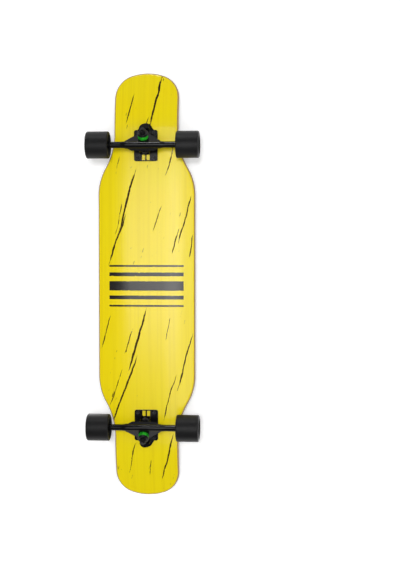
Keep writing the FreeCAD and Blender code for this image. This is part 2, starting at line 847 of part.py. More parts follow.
def hanger(name, end):
    bar = revolved(
        name + "_bar",
        "XY_Plane",
        [
            [
                (0, -hanger_face),
                (hanger_end_radius, -hanger_face),
                (hanger_end_radius, -hanger_step - hanger_taper),
                (hanger_radius, -hanger_step),
                (hanger_radius, hanger_step),
                (hanger_end_radius, hanger_step + hanger_taper),
                (hanger_end_radius, hanger_face),
                (0, hanger_face),
            ]
        ],
    )
    half_bar = hanger_radius * 0.7
    ring_end = kingpin_offset + ring_radius
    yoke = padded(
        name + "_yoke",
        "XY_Plane",
        [
            [
                (-half_bar, -yoke_spread),
                (half_bar, -yoke_spread),
                (kingpin_offset + ring_radius * 0.6, -ring_radius * 0.8),
                (ring_end, -nose_root_radius),
                (ring_end, nose_root_radius),
                (kingpin_offset + ring_radius * 0.6, ring_radius * 0.8),
                (half_bar, yoke_spread),
                (-half_bar, yoke_spread),
            ]
        ],
        yoke_thickness,
    )
    ring = cylinder(name + "_ring", ring_radius, yoke_thickness, (kingpin_offset, 0, -yoke_thickness / 2))
    root_start = ring_end - 5
    root_length = pivot_offset - nose_ball_radius - root_start
    nose_root = cone(
        name + "_nose_root",
        nose_root_radius,
        nose_neck_radius,
        root_length,
        (root_start, 0, 0),
        turn_to_x,
    )
    neck_start = root_start + root_length
    neck_length = pivot_offset - neck_start
    neck = cylinder(name + "_neck", nose_neck_radius, neck_length, (neck_start, 0, 0), turn_to_x)
    nose = sphere(name + "_nose", nose_ball_radius, (pivot_offset, 0, 0))
    arch = padded(
        name + "_arch",
        "YZ_Plane",
        [
            [
                (-arch_spread, 0),
                (arch_spread, 0),
                (arch_top_spread, arch_height),
                (-arch_top_spread, arch_height),
            ]
        ],
        arch_thickness,
    )
    solid = fused(name + "_solid", [bar, yoke, ring, nose_root, neck, nose, arch])
    low = (kingpin_offset, 0, -yoke_thickness)
    pin_hole = cylinder(name + "_pin_hole", ring_hole_radius, 2 * yoke_thickness, low)
    top_seat_radius = boardside_radius + seat_gap
    top_seat_spot = (kingpin_offset, 0, boardside_seat)
    top_seat = cylinder(name + "_top_seat", top_seat_radius, yoke_thickness, top_seat_spot)
    low_seat_radius = roadside_radius + seat_gap
    low_seat_spot = (kingpin_offset, 0, -boardside_seat - yoke_thickness)
    low_seat = cylinder(name + "_low_seat", low_seat_radius, yoke_thickness, low_seat_spot)
    bore_start = (0, -hanger_width, 0)
    axle_bore = cylinder(name + "_axle_bore", inner_bore, 2 * hanger_width, bore_start, turn_to_y)
    holes = grouped(name + "_holes", [pin_hole, top_seat, low_seat, axle_bore])
    return on_truck(cut(name + "_cast", solid, holes), end, steer_turn)


def bearing_centres():
    spots = []
    for side in (1, -1):
        for bearing in (1, -1):
            spots.append(side * wheel_station + bearing * bearing_offset)
    return spots


# Ring of a bearing with a ball groove, the groove on the outside or on the inside
def inner_ring_outline(centre):
    half = bearing_width / 2
    gap = ball_pitch_radius - inner_ring_radius
    groove = root(groove_radius * groove_radius - gap * gap)
    return [
        (inner_bore, centre - half),
        (inner_ring_radius, centre - half),
        (inner_ring_radius, centre - groove, -groove_radius),
        (inner_ring_radius, centre + groove),
        (inner_ring_radius, centre + half),
        (inner_bore, centre + half),
    ]


def outer_ring_outline(centre):
    half = bearing_width / 2
    outside = bearing_outer_diameter / 2
    gap = outer_ring_inside - ball_pitch_radius
    groove = root(groove_radius * groove_radius - gap * gap)
    return [
        (outside, centre - half),
        (outside, centre + half),
        (outer_ring_inside, centre + half),
        (outer_ring_inside, centre + groove, -groove_radius),
        (outer_ring_inside, centre - groove),
        (outer_ring_inside, centre - half),
    ]


def axle_parts(name, end):
    axle = cylinder(name + "_axle_rod", axle_radius, 2 * axle_end, (0, 0, 0), turn_to_y)
    place(axle, (end * axle_station, -axle_end, wheel_radius), turn_to_y)
    node(axle, name + "_axle")
    nut_low = axle_end - axle_tail - axle_nut_height
    axle_nuts = []
    for side in (1, -1):
        mark = "_left" if side > 0 else "_right"
        low = nut_low if side > 0 else -nut_low - axle_nut_height
        nut_name = name + "_axle_nut" + mark
        blank = hexagon(nut_name + "_blank", axle_nut_corners, axle_nut_height, (0, low, 0), turn_to_y)
        bore = cylinder(nut_name + "_bore", inner_bore, 2 * axle_nut_height, (0, low - 2, 0), turn_to_y)
        axle_nuts.append(cut(nut_name, blank, bore))
    node(on_truck(grouped(name + "_axle_nut_set", axle_nuts), end), name + "_axle_nuts")
    washers = []
    spacers = []
    half_washer = speed_washer_thickness / 2
    for side in (1, -1):
        for face in (1, -1):
            low = side * wheel_station + face * washer_station - half_washer
            high = low + speed_washer_thickness
            washers.append(ring_outline(inner_bore, speed_washer_radius, low, high))
        low = side * wheel_station - spacer_length / 2
        spacers.append(ring_outline(inner_bore, spacer_radius, low, low + spacer_length))
    node(on_truck(revolved(name + "_washer_set", "XY_Plane", washers), end), name + "_speed_washers")
    rings = [inner_ring_outline(centre) for centre in bearing_centres()]
    ring_set = revolved(name + "_inner_ring_set", "XY_Plane", rings)
    node(on_truck(ring_set, end), name + "_bearing_inner_rings")
    node(on_truck(revolved(name + "_spacer_set", "XY_Plane", spacers), end), name + "_bearing_spacers")


def build_truck(name, end):
    node(baseplate(name + "_plate", end), name + "_baseplate")
    node(pivot_cup(name + "_pivot", end), name + "_pivot_cup")
    node(kingpin(name + "_king", end), name + "_kingpin")
    node(kingpin_nut(name + "_king_nut", end), name + "_kingpin_nut")
    board_ring = ring_outline(bushing_bore, boardside_radius, boardside_top, boardside_top + bushing_washer)
    board_washer = revolved(name + "_board_washer", "XZ_Plane", [board_ring])
    node(on_kingpin(board_washer, end), name + "_boardside_washer")
    node(cup_washer(name + "_road_washer", end), name + "_roadside_washer")
    node(boardside_bushing(name + "_board_bushing", end), name + "_boardside_bushing")
    node(roadside_bushing(name + "_road_bushing", end), name + "_roadside_bushing")
    node(hanger(name + "_hang", end), name + "_hanger")
    axle_parts(name, end)


def ball_angles():
    return [360.0 * step / ball_count for step in range(ball_count)]


def bearing_balls(name):
    balls = []
    for bearing in (1, -1):
        for angle in ball_angles():
            mark = ("_outer_" if bearing > 0 else "_inner_") + str(round(angle))
            x = ball_pitch_radius * cosine(angle)
            z = ball_pitch_radius * sine(angle)
            balls.append(sphere(name + mark, ball_radius, (x, bearing * bearing_offset, z)))
    return balls


def cage_pockets(name):
    pockets = []
    start = ball_pitch_radius - cage_thickness
    for bearing in (1, -1):
        for angle in ball_angles():
            mark = ("_outer_" if bearing > 0 else "_inner_") + str(round(angle))
            spot = (start * cosine(angle), bearing * bearing_offset, start * sine(angle))
            turn = FreeCAD.Rotation(FreeCAD.Vector(0, 1, 0), -angle).multiply(turn_to_x)
            pockets.append(cylinder(name + mark, ball_radius + cage_gap, 2 * cage_thickness, spot, turn))
    return pockets


def build_wheel(name, end, side):
    def on_axle(item, label):
        place(item, (end * axle_station, side * wheel_station, wheel_radius))
        node(item, name + label)

    half = wheel_width / 2
    half_core = core_width / 2
    lip = wheel_lip_round
    flat_outer = wheel_radius - lip
    flat_inner = flat_outer - wheel_lip_flat
    bore = core_radius + bond_gap
    slope_start = flat_inner - wheel_recess_slope
    tyre = [
        (bore, -half_core),
        (slope_start, -half_core),
        (flat_inner, -half),
        (flat_outer, -half, lip),
        (wheel_radius, lip - half),
        (wheel_radius, half - lip, lip),
        (flat_outer, half),
        (flat_inner, half),
        (slope_start, half_core),
        (bore, half_core),
    ]
    on_axle(revolved(name + "_tyre_body", "XY_Plane", [tyre]), "_tyre")
    seat = bearing_outer_diameter / 2 + bearing_seat_gap
    rib = spacer_length / 2
    core = [
        (seat, -half_core),
        (core_radius, -half_core),
        (core_radius, half_core),
        (seat, half_core),
        (seat, rib),
        (core_rib_radius, rib),
        (core_rib_radius, -rib),
        (seat, -rib),
    ]
    on_axle(revolved(name + "_core_body", "XY_Plane", [core]), "_core")
    rings = [outer_ring_outline(bearing * bearing_offset) for bearing in (1, -1)]
    on_axle(revolved(name + "_ring_set", "XY_Plane", rings), "_bearing_outer_rings")
    shields = []
    for bearing in (1, -1):
        for face in (1, -1):
            centre = bearing * bearing_offset + face * (bearing_width - shield_thickness) / 2
            low = centre - shield_thickness / 2
            inner = inner_ring_radius + shield_gap
            shields.append(ring_outline(inner, outer_ring_inside - shield_fit, low, low + shield_thickness))
    on_axle(revolved(name + "_shield_set", "XY_Plane", shields), "_bearing_shields")
    on_axle(grouped(name + "_ball_set", bearing_balls(name + "_ball")), "_bearing_balls")
    cages = []
    half_cage = cage_thickness / 2
    for bearing in (1, -1):
        low = bearing * bearing_offset - cage_width / 2
        inner = ball_pitch_radius - half_cage
        cages.append(ring_outline(inner, ball_pitch_radius + half_cage, low, low + cage_width))
    cage_blank = revolved(name + "_cage_blank", "XY_Plane", cages)
    pockets = grouped(name + "_pocket_set", cage_pockets(name + "_pocket"))
    on_axle(cut(name + "_cage_set", cage_blank, pockets), "_ball_cages")


for end_name, end in (("front", 1), ("rear", -1)):
    build_truck(end_name, end)
    for side_name, side in (("left", 1), ("right", -1)):
        build_wheel(end_name + "_" + side_name, end, side)

# Check and export
doc.recompute()
faulty = [item.Name for item in doc.Objects if "Invalid" in item.State or "Error" in item.State]
if faulty:
    raise RuntimeError("not built: " + ", ".join(faulty))
os.makedirs("parts", exist_ok=True)
for item in nodes:
    if item.Shape.isNull() or not item.Shape.isValid():
        raise RuntimeError("bad shape: " + item.Label)
    item.Shape.exportStep("parts/" + item.Label + ".step")
print(len(nodes), "nodes exported")
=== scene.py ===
import math
from functools import reduce

import bmesh
import bpy
from mathutils import Matrix, Vector


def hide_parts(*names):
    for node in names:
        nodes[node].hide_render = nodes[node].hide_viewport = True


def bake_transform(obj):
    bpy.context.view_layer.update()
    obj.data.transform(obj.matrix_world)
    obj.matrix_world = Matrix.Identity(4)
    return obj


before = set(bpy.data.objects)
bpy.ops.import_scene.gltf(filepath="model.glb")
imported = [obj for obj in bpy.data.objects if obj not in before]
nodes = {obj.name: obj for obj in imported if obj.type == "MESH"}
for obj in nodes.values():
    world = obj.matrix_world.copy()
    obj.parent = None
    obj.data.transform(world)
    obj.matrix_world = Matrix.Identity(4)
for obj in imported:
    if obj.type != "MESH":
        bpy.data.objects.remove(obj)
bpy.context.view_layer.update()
scene = bpy.context.scene
scene.view_settings.view_transform = "Standard"
print("frame loaded:", len(nodes), "nodes")


# gives a node's socket a value or a link
def plug(item, name, value):
    if isinstance(value, Wire):
        value.tree.links.new(value.socket, item.inputs[name])
    else:
        item.inputs[name].default_value = value


# a socket that can be added, multiplied and compared, and that makes any other node
class Wire:
    def __init__(self, tree, socket=None):
        self.tree = tree
        self.socket = socket

    def make(self, kind, settings=None, sockets=None, out=0):
        item = self.tree.nodes.new(kind)
        for name, value in (settings or {}).items():
            setattr(item, name, value)
        for name, value in (sockets or {}).items():
            plug(item, name, value)
        return Wire(self.tree, item.outputs[out])

    def maths(self, operation, *values):
        return self.make("ShaderNodeMath", {"operation": operation}, dict(enumerate(values)))

    def __add__(self, other):
        return self.maths("ADD", self, other)

    def __radd__(self, other):
        return self.maths("ADD", other, self)

    def __sub__(self, other):
        return self.maths("SUBTRACT", self, other)

    def __rsub__(self, other):
        return self.maths("SUBTRACT", other, self)

    def __mul__(self, other):
        return self.maths("MULTIPLY", self, other)

    def __rmul__(self, other):
        return self.maths("MULTIPLY", other, self)

    def __truediv__(self, other):
        return self.maths("DIVIDE", self, other)

    def __rtruediv__(self, other):
        return self.maths("DIVIDE", other, self)

    def __abs__(self):
        return self.maths("ABSOLUTE", self)

    def atLeast(self, other):
        return self.maths("MAXIMUM", self, other)

    def atMost(self, other):
        return self.maths("MINIMUM", self, other)

    def root(self):
        return self.maths("SQRT", self)

    def dot(self, direction):
        settings = {"operation": "DOT_PRODUCT"}
        return self.make("ShaderNodeVectorMath", settings, {0: self, 1: direction}, "Value")

    def length(self):
        settings = {"operation": "LENGTH"}
        return self.make("ShaderNodeVectorMath", settings, {0: self}, "Value")

    # 0 below low, 1 above high, smooth between
    def step(self, low, high):
        sockets = {"Value": self, "From Min": low, "From Max": high, "To Min": 0.0, "To Max": 1.0}
        return self.make("ShaderNodeMapRange", {"interpolation_type": "SMOOTHSTEP"}, sockets)

    # a Mix node's sockets for colours are 6 and 7, and 2 on the way out
    def mixColour(self, low, high):
        return self.make("ShaderNodeMix", {"data_type": "RGBA"}, {0: self, 6: low, 7: high}, 2)


# linear colour from the usual 0-255 screen values
def rgb(red, green, blue):
    def linear(level):
        level = level / 255
        return level / 12.92 if level <= 0.04045 else ((level + 0.055) / 1.055) ** 2.4
    return (linear(red), linear(green), linear(blue), 1.0)


def newMaterial(name):
    material = bpy.data.materials.new(name)
    material.use_nodes = True
    tree = material.node_tree
    shader = tree.nodes["Principled BSDF"]
    spot = Wire(tree).make("ShaderNodeTexCoord", out="Object")
    return material, shader, spot


def split(spot):
    outputs = spot.make("ShaderNodeSeparateXYZ", None, {0: spot}).socket.node.outputs
    return tuple(Wire(spot.tree, outputs[axis]) for axis in "XYZ")


def joinXyz(x, y, z):
    return x.make("ShaderNodeCombineXYZ", None, {0: x, 1: y, 2: z})


# a dictionary gives a noise pattern as scale, detail and, where it isn't 0.5, roughness
def noise(spot, scale, detail, rough=0.5):
    sockets = {"Vector": spot, "Scale": scale, "Detail": detail, "Roughness": rough}
    return spot.make("ShaderNodeTexNoise", None, sockets)


# noise that shifts a value to both sides, by half the amount at most
def waver(spot, pattern, amount):
    return (noise(spot, *pattern) - 0.5) * amount


# heights are in metres
def bump(height, strength):
    sockets = {"Strength": strength, "Distance": 1.0, "Height": height}
    return height.make("ShaderNodeBump", None, sockets)


def dress(names, material):
    for name in names:
        slots = nodes[name].data.materials
        slots.clear()
        slots.append(material)


def named(*endings):
    return [name for name in nodes if name.endswith(endings)]


# the board: yellow print with dark cracks, plain bars in the middle, bare ply on the rounded edge
# with painted shade at its rim
deckLook = {
    # bent underside
    "underside": 0.095,
    "kickStart": 0.396,
    "kickEnd": 0.45113,
    "kickRadius": 0.2,
    "kickAngle": math.radians(16),
    "flatHalf": 0.045,
    "concaveRadius": 0.4,
    # yellow with pale clouds and long thin veins
    "yellow": rgb(238, 214, 0),
    "yellowPale": rgb(237, 216, 6),
    "yellowVein": rgb(220, 194, 0),
    "cloud": (6.0, 3.0),
    "cloudStep": (0.35, 0.7),
    "vein": (1.0, 4.0),
    "veinStretch": (2.2, 170.0),
    "veinSlice": 0.6,
    "veinStep": (0.42, 0.72),
    "veinShare": 0.36,
    "softEdge": 0.0004,  # of the bars and the cracks
    # bars: place along the board and width
    "ink": rgb(36, 33, 31),
    "bars": ((0.0, 0.024), (0.029, 0.010), (-0.029, 0.010), (0.050, 0.005), (-0.050, 0.005)),
    "barHalf": 0.094,
    "barWear": (130.0, 4.0, 0.65),
    "barWearStep": (0.55, 0.8),
    "barWearDepth": 0.0016,
    # short splinters in loose groups
    "splinterTilt": math.radians(15),
    "splinter": (1.0, 2.0),
    "splinterStretch": (42.0, 210.0),
    "splinterSlice": 3.3,
    "splinterStep": (0.7, 0.74),
    "splinterGroup": (7.0, 2.0),
    "splinterGroupSlice": 0.4,
    "splinterGroupStep": (0.52, 0.64),
    # cracks that wander and have nibbled sides
    "crack": rgb(44, 25, 3),
    "crackTaper": 6.0,
    "crackHalf": 0.47,  # of the width, as the soft edge adds to it
    "crackSway": (11.0, 2.0),
    "crackSwayBy": 0.016,
    "crackJitter": (95.0, 3.0, 0.6),
    "crackJitterBy": 0.0034,
    "crackNibble": (60.0, 3.0, 0.6),
    "crackNibbleStep": (0.45, 0.8),
    "crackNibbleDepth": 0.0012,
    # from x, y to x, y and the width in the middle
    "streaks": (
        (0.296, -0.025, 0.132, -0.071, 0.0055),
        (0.183, -0.051, 0.047, -0.099, 0.0046),
        (0.216, -0.060, 0.122, -0.080, 0.0029),
        (0.237, 0.116, 0.097, 0.080, 0.0038),
        (0.148, 0.086, 0.078, 0.066, 0.0031),
        (0.204, 0.036, 0.132, 0.016, 0.0027),
        (0.131, 0.120, 0.065, 0.104, 0.0031),
        (-0.051, 0.002, -0.225, -0.050, 0.0059),
        (-0.168, -0.022, -0.368, -0.094, 0.0050),
        (-0.205, -0.060, -0.307, -0.094, 0.0031),
        (-0.102, -0.033, -0.178, -0.059, 0.0029),
        (-0.113, 0.116, -0.271, 0.076, 0.0042),
        (-0.218, 0.076, -0.344, 0.040, 0.0034),
        (-0.077, 0.064, -0.139, 0.048, 0.0027),
        (-0.072, -0.089, -0.160, -0.117, 0.0034),
        (-0.367, 0.070, -0.501, 0.034, 0.0042),
        (-0.393, -0.025, -0.477, -0.049, 0.0034),
        (-0.435, 0.013, -0.481, 0.003, 0.0024),
        (0.532, 0.040, 0.388, 0.006, 0.0053),
        (0.424, 0.006, 0.366, -0.012, 0.0035),
        (0.483, -0.027, 0.401, -0.051, 0.0035),
        (0.362, 0.071, 0.272, 0.045, 0.0034),
        (0.325, -0.065, 0.277, -0.077, 0.0027),
    ),
    # bare ply, with painted shade darkening its rim next to the print
    "plyLight": rgb(236, 214, 164),
    "plyDark": rgb(196, 164, 116),
    "plyRimShade": rgb(164, 130, 98),
    "rimShadeStep": (0.002, 0.004),
    "thickness": 0.011,
    "plies": 7.0,
    "layerStep": (0.3, 0.7),
    "layerShare": 0.6,
    "grain": (1.0, 3.0),
    "grainStretch": (40.0, 40.0, 900.0),
    "grainShare": 0.4,
    # ragged end of the print on the rounded edge
    "printEnd": 0.0005,
    "printFade": 0.0003,
    "ragged": (220.0, 2.0),
    "raggedBy": 0.0004,
    # gloss and relief
    "rough": 0.22,
    "plyRougher": 0.38,
    "smear": (45.0, 3.0),
    "smearBy": 0.08,
    "crackRough": 0.85,
    "coat": 0.75,
    "coatRough": 0.2,
    "specular": 0.25,
    "tooth": (900.0, 2.0),
    "toothHeight": 0.00002,
    "swell": (14.0, 1.0),
    "swellHeight": 0.0002,
    "grainHeight": 0.0001,
    "crackDepth": 0.00004,
    "bump": 0.35,
}


# height of a point over the bent underside of the board
def overUnderside(x, y, z):
    look = deckLook
    run = abs(x)
    bend = (run - look["kickStart"]).atLeast(0.0).atMost(look["kickEnd"] - look["kickStart"])
    radius = look["kickRadius"]
    rise = radius - (radius * radius - bend * bend).root()
    rise = rise + (run - look["kickEnd"]).atLeast(0.0) * math.tan(look["kickAngle"])
    side = (abs(y) - look["flatHalf"]).atLeast(0.0)
    curve = look["concaveRadius"]
    hollow = curve - (curve * curve - side * side).root()
    return z - look["underside"] - rise - hollow


def yellowPrint(spot, x, y):
    look = deckLook
    cloud = noise(spot, *look["cloud"]).step(*look["cloudStep"])
    yellow = cloud.mixColour(look["yellow"], look["yellowPale"])
    along, across = look["veinStretch"]
    veinSpot = joinXyz(x * along, y * across, look["veinSlice"])
    vein = noise(veinSpot, *look["vein"]).step(*look["veinStep"])
    return (vein * look["veinShare"]).mixColour(yellow, look["yellowVein"])


# how far a point lies inside a crack that tapers to both ends, in metres
def insideStreak(spot, wander, x0, y0, x1, y1, width):
    run = math.hypot(x1 - x0, y1 - y0)
    dx, dy = (x1 - x0) / run, (y1 - y0) / run
    share = spot.dot((dx / run, dy / run, 0)) - (x0 * dx + y0 * dy) / run
    across = spot.dot((-dy, dx, 0)) + (x0 * dy - y0 * dx) + wander
    taper = (share * (1 - share) * deckLook["crackTaper"]).atLeast(0.0).atMost(1.0)
    return taper * (width * deckLook["crackHalf"]) - abs(across)


def cracks(spot):
    look = deckLook
    wander = waver(spot, look["crackSway"], look["crackSwayBy"])
    wander = wander + waver(spot, look["crackJitter"], look["crackJitterBy"])
    nibble = noise(spot, *look["crackNibble"]).step(*look["crackNibbleStep"])
    depths = [insideStreak(spot, wander, *streak) for streak in look["streaks"]]
    inside = reduce(Wire.atLeast, depths)
    return (inside - nibble * look["crackNibbleDepth"]).step(0.0, look["softEdge"])


# short and dark, in loose groups, lying along the cracks
def splinters(x, y):
    look = deckLook
    cosine, sine = math.cos(look["splinterTilt"]), math.sin(look["splinterTilt"])
    along, across = look["splinterStretch"]
    tilted = (x * cosine + y * sine) * along, (y * cosine - x * sine) * across
    sliver = noise(joinXyz(*tilted, look["splinterSlice"]), *look["splinter"])
    group = noise(joinXyz(x, y, look["splinterGroupSlice"]), *look["splinterGroup"])
    return sliver.step(*look["splinterStep"]) * group.step(*look["splinterGroupStep"])


def printedBars(spot, x, y):
    look = deckLook
    worn = noise(spot, *look["barWear"]).step(*look["barWearStep"])
    ends = look["barHalf"] - abs(y)
    depths = [(width / 2 - abs(x - place)).atMost(ends) for place, width in look["bars"]]
    inside = reduce(Wire.atLeast, depths)
    return (inside - worn * look["barWearDepth"]).step(0.0, look["softEdge"])


def barePly(height, grain):
    look = deckLook
    ply = height / look["thickness"] * look["plies"]
    layer = ply.maths("PINGPONG", ply, 1.0).step(*look["layerStep"])
    tone = layer * look["layerShare"] + grain * look["grainShare"]
    wood = tone.mixColour(look["plyDark"], look["plyLight"])
    # painted shade: the ply goes darker at the rim next to the print
    return height.step(*look["rimShadeStep"]).mixColour(look["plyRimShade"], wood)


def printedPly():
    look = deckLook
    material, shader, spot = newMaterial("printedPly")
    x, y, z = split(spot)
    height = overUnderside(x, y, z)
    dark = cracks(spot).atLeast(splinters(x, y))
    inked = printedBars(spot, x, y).mixColour(yellowPrint(spot, x, y), look["ink"])
    printed = dark.mixColour(inked, look["crack"])
    alongX, alongY, alongZ = look["grainStretch"]
    grain = noise(joinXyz(x * alongX, y * alongY, z * alongZ), *look["grain"])
    ragged = height + waver(spot, look["ragged"], look["raggedBy"])
    edge = ragged.step(look["printEnd"], look["printEnd"] + look["printFade"])
    plug(shader, "Base Color", edge.mixColour(printed, barePly(height, grain)))
    rough = look["rough"] + edge * look["plyRougher"]
    rough = rough + waver(spot, look["smear"], look["smearBy"])
    plug(shader, "Roughness", rough.atLeast(dark * look["crackRough"]))
    plug(shader, "Coat Weight", (1 - edge) * (1 - dark) * look["coat"])
    plug(shader, "Coat Roughness", look["coatRough"])
    plug(shader, "Specular IOR Level", look["specular"])
    relief = noise(spot, *look["tooth"]) * look["toothHeight"]
    relief = relief + noise(spot, *look["swell"]) * look["swellHeight"]
    relief = relief + grain * edge * look["grainHeight"] - dark * look["crackDepth"]
    plug(shader, "Normal", bump(relief, look["bump"]))
    return material


dress(["deck"], printedPly())
print("deck dressed")


# grip tape on the top: coarse grit with a few brighter grains
gripLook = {
    "grit": rgb(17, 17, 18),
    "sparkle": rgb(50, 50, 52),
    "grain": 1500.0,
    "grainHeight": 0.0004,
    "wear": (5.0, 4.0),
    "wearStep": (0.35, 0.75),
    "glint": (2600.0, 1.0),
    "glintStep": (0.62, 0.72),
    "glintShare": 0.5,
    "wornShare": 0.3,
    "rough": 0.92,
    "glintSmoother": 0.35,
    "specular": 0.16,
    "bump": 0.6,
}


def gritSheet():
    look = gripLook
    material, shader, spot = newMaterial("gritSheet")
    sockets = {"Vector": spot, "Scale": look["grain"]}
    cells = spot.make("ShaderNodeTexVoronoi", {"feature": "F1"}, sockets)
    worn = noise(spot, *look["wear"]).step(*look["wearStep"])
    glint = noise(spot, *look["glint"]).step(*look["glintStep"])
    bright = glint * (look["glintShare"] + worn * look["wornShare"])
    plug(shader, "Base Color", bright.mixColour(look["grit"], look["sparkle"]))
    plug(shader, "Roughness", look["rough"] - glint * look["glintSmoother"])
    plug(shader, "Specular IOR Level", look["specular"])
    plug(shader, "Normal", bump((1 - cells) * look["grainHeight"], look["bump"]))
    return material


dress(["grip_tape"], gritSheet())
print("grip tape dressed")


# black castings of the trucks, rubbed a little lighter in places
castingLook = {
    "black": rgb(13, 13, 14),
    "rubbed": rgb(24, 24, 25),
    "rub": (60.0, 5.0, 0.65),
    "rubStep": (0.55, 0.8),
    "rough": 0.16,
    "rubRougher": 0.12,
    "peel": (650.0, 2.0),
    "peelBy": 0.06,
    "peelHeight": 0.00006,
    "swell": (90.0, 2.0),
    "swellHeight": 0.0002,
    "specular": 0.3,
    "bump": 0.4,
}


def castBlack():
    look = castingLook
    material, shader, spot = newMaterial("castBlack")
    rubbed = noise(spot, *look["rub"]).step(*look["rubStep"])
    peel = noise(spot, *look["peel"])
    plug(shader, "Base Color", rubbed.mixColour(look["black"], look["rubbed"]))
    rough = look["rough"] + rubbed * look["rubRougher"] + (peel - 0.5) * look["peelBy"]
    plug(shader, "Roughness", rough)
    plug(shader, "Specular IOR Level", look["specular"])
    relief = peel * look["peelHeight"] + noise(spot, *look["swell"]) * look["swellHeight"]
    plug(shader, "Normal", bump(relief, look["bump"]))
    return material


# black bolts, nuts, washers and shields with bright rubbed spots
hardwareLook = {
    "black": rgb(34, 34, 35),
    "rubbed": rgb(100, 100, 103),
    "rub": (220.0, 4.0, 0.7),
    "rubStep": (0.52, 0.74),
    "metallic": 0.5,
    "rubMetallic": 0.4,
    "rough": 0.32,
    "smear": (400.0, 2.0),
    "smearRougher": 0.15,
    "skin": (1200.0, 2.0),
    "skinHeight": 0.00003,
    "bump": 0.4,
}


def blackSteel():
    look = hardwareLook
    material, shader, spot = newMaterial("blackSteel")
    rubbed = noise(spot, *look["rub"]).step(*look["rubStep"])
    plug(shader, "Base Color", rubbed.mixColour(look["black"], look["rubbed"]))
    plug(shader, "Metallic", look["metallic"] + rubbed * look["rubMetallic"])
    plug(shader, "Roughness", look["rough"] + noise(spot, *look["smear"]) * look["smearRougher"])
    plug(shader, "Normal", bump(noise(spot, *look["skin"]) * look["skinHeight"], look["bump"]))
    return material


# bright steel with fine turning rings round the axles
steelLook = {
    "light": rgb(186, 186, 188),
    "dark": rgb(132, 132, 136),
    "rings": (1.0, 2.0),
    "ringStretch": (60.0, 2400.0, 60.0),
    "rough": 0.2,
    "ringRougher": 0.2,
    "ringHeight": 0.00003,
    "bump": 0.3,
}


def turnedSteel():
    look = steelLook
    material, shader, spot = newMaterial("turnedSteel")
    x, y, z = split(spot)
    alongX, alongY, alongZ = look["ringStretch"]
    rings = noise(joinXyz(x * alongX, y * alongY, z * alongZ), *look["rings"])
    plug(shader, "Base Color", rings.mixColour(look["dark"], look["light"]))
    plug(shader, "Metallic", 1.0)
    plug(shader, "Roughness", look["rough"] + rings * look["ringRougher"])
    plug(shader, "Normal", bump(rings * look["ringHeight"], look["bump"]))
    return material


dress(named("_baseplate", "_hanger"), castBlack())
blackHardware = named("mounting_bolts", "mounting_nuts", "_kingpin", "_kingpin_nut")
blackHardware += named("side_washer", "_axle_nuts", "_shields")
dress(blackHardware, blackSteel())
brightSteel = named("_axle", "_speed_washers", "_spacers")
brightSteel += named("_inner_rings", "_outer_rings", "_balls", "_cages")
dress(brightSteel, turnedSteel())
print("trucks dressed")


# black tyres with a trace of dust
tyreLook = {
    "black": rgb(23, 23, 24),
    "dusty": rgb(24, 24, 25),
    "dust": (75.0, 5.0, 0.6),
    "dustStep": (0.5, 0.85),
    "rough": 0.42,
    "dustRougher": 0.1,
    "smear": (500.0, 2.0),
    "smearRougher": 0.08,
    "specular": 0.36,
    "skin": (800.0, 2.0),
    "skinHeight": 0.00004,
    "bump": 0.3,
}


def wheelUrethane():
    look = tyreLook
    material, shader, spot = newMaterial("wheelUrethane")
    dust = noise(spot, *look["dust"]).step(*look["dustStep"])
    plug(shader, "Base Color", dust.mixColour(look["black"], look["dusty"]))
    rough = look["rough"] + dust * look["dustRougher"]
    rough = rough + noise(spot, *look["smear"]) * look["smearRougher"]
    plug(shader, "Roughness", rough)
    plug(shader, "Specular IOR Level", look["specular"])
    plug(shader, "Normal", bump(noise(spot, *look["skin"]) * look["skinHeight"], look["bump"]))
    return material


# moulded plastic of the wheel cores and pivot cups
coreLook = {
    "black": rgb(20, 20, 21),
    "worn": rgb(40, 40, 42),
    "wear": (120.0, 4.0),
    "wearStep": (0.5, 0.8),
    "rough": 0.42,
    "wearRougher": 0.15,
    "skin": (1500.0, 2.0),
    "skinHeight": 0.00005,
    "bump": 0.4,
}


def corePlastic():
    look = coreLook
    material, shader, spot = newMaterial("corePlastic")
    worn = noise(spot, *look["wear"]).step(*look["wearStep"])
    plug(shader, "Base Color", worn.mixColour(look["black"], look["worn"]))
    plug(shader, "Roughness", look["rough"] + worn * look["wearRougher"])
    plug(shader, "Normal", bump(noise(spot, *look["skin"]) * look["skinHeight"], look["bump"]))
    return material


dress(named("_tyre"), wheelUrethane())
dress(named("_core", "_pivot_cup"), corePlastic())
print("wheels dressed")


# green bushings, turned round the kingpin, each between the hanger and a washer of the board
bushingLook = {
    "green": rgb(46, 186, 40),
    "greenDeep": rgb(12, 128, 22),
    "cloud": (140.0, 3.0),
    "cloudStep": (0.3, 0.7),
    "rough": 0.3,
    "cloudRougher": 0.15,
    "subsurface": 0.1,
    "subsurfaceRadius": (0.001, 0.003, 0.001),
    "skin": (700.0, 2.0),
    "skinHeight": 0.00005,
    "bump": 0.4,
    "axleX": 0.3468,
    "axleZ": 0.033,
    "kingpinOffset": 0.0205,
    "bore": 0.0049,
    "rim": 0.0007,
    "rimMiddle": 0.3,  # of the rim, where its rounding has one more point
    "sides": 56,
    "mergeWithin": 0.000001,
    "sharpFrom": math.radians(50),
    # distance along the kingpin from the axle's plane and the radius there, hanger first
    "boardside": (
        (0.004, 0.0129), (0.008, 0.0130), (0.012, 0.0131),
        (0.016, 0.0130), (0.020, 0.0128),
    ),
    "roadside": (
        (-0.004, 0.0129), (-0.0075, 0.0130), (-0.0115, 0.0131),
        (-0.0144, 0.0129), (-0.0158, 0.0118), (-0.019, 0.0118),
    ),
}


